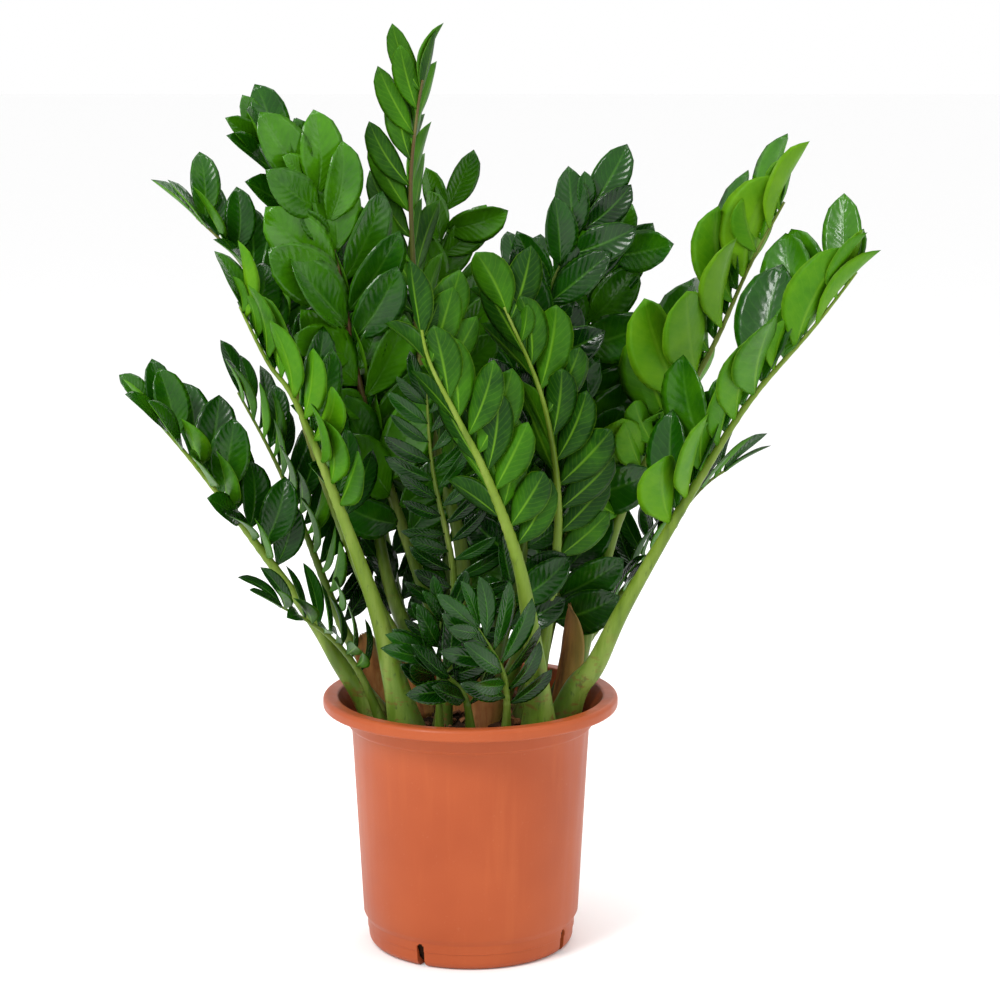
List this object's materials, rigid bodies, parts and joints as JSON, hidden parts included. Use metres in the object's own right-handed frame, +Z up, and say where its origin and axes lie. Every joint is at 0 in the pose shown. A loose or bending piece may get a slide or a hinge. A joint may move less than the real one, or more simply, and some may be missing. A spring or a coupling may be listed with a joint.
{
  "type": "potted zz plant",
  "caption": "Bushy zz plant with arching glossy pinnate fronds, growing from soil in a plain terracotta-coloured nursery pot.",
  "frame": {"origin": "centre of the pot's flat underside, on the surface that the pot stands on", "axes": "+Z up along the pot's axis, -Y towards the plant's front, +X to the right seen from the front"},
  "size_m": [0.6699, 0.3841, 0.8593],
  "materials": {
    "terracotta_plastic": "satin moulded plastic",
    "potting_soil": "loose dark potting mix with bark",
    "tuber_skin": "matt potato-like skin",
    "frond_green": "waxy gloss on leaflets, satin on stems",
    "dry_sheath": "dry papery brown"
  },
  "bodies": {
    "root": {"nursery_pot": "terracotta_plastic", "potting_soil": "potting_soil", "tuber_left": "tuber_skin", "tuber_right": "tuber_skin", "tuber_back": "tuber_skin", "tuber_front": "tuber_skin", "frond_left_low": "frond_green", "frond_left_thin": "frond_green", "frond_left_rear": "frond_green", "frond_left_bright": "frond_green", "frond_left_high": "frond_green", "frond_tall_left": "frond_green", "frond_tall_left_front": "frond_green", "frond_tallest": "frond_green", "frond_behind_tallest": "frond_green", "frond_ladder": "frond_green", "frond_front_bright": "frond_green", "frond_front_upright": "frond_green", "frond_middle_right": "frond_green", "frond_right_inner": "frond_green", "frond_right_middle": "frond_green", "frond_right_tall": "frond_green", "frond_right_outer": "frond_green", "frond_right_low": "frond_green", "shoot_front_left": "frond_green", "shoot_front_middle": "frond_green", "shoot_front_right": "frond_green", "frond_back_left": "frond_green", "frond_back": "frond_green", "frond_back_right": "frond_green", "sheath_right": "dry_sheath", "sheath_left": "dry_sheath", "sheath_left_inner": "dry_sheath", "sheath_middle": "dry_sheath", "sheath_front": "dry_sheath", "sheath_back": "dry_sheath"}
  },
  "joints": []
}
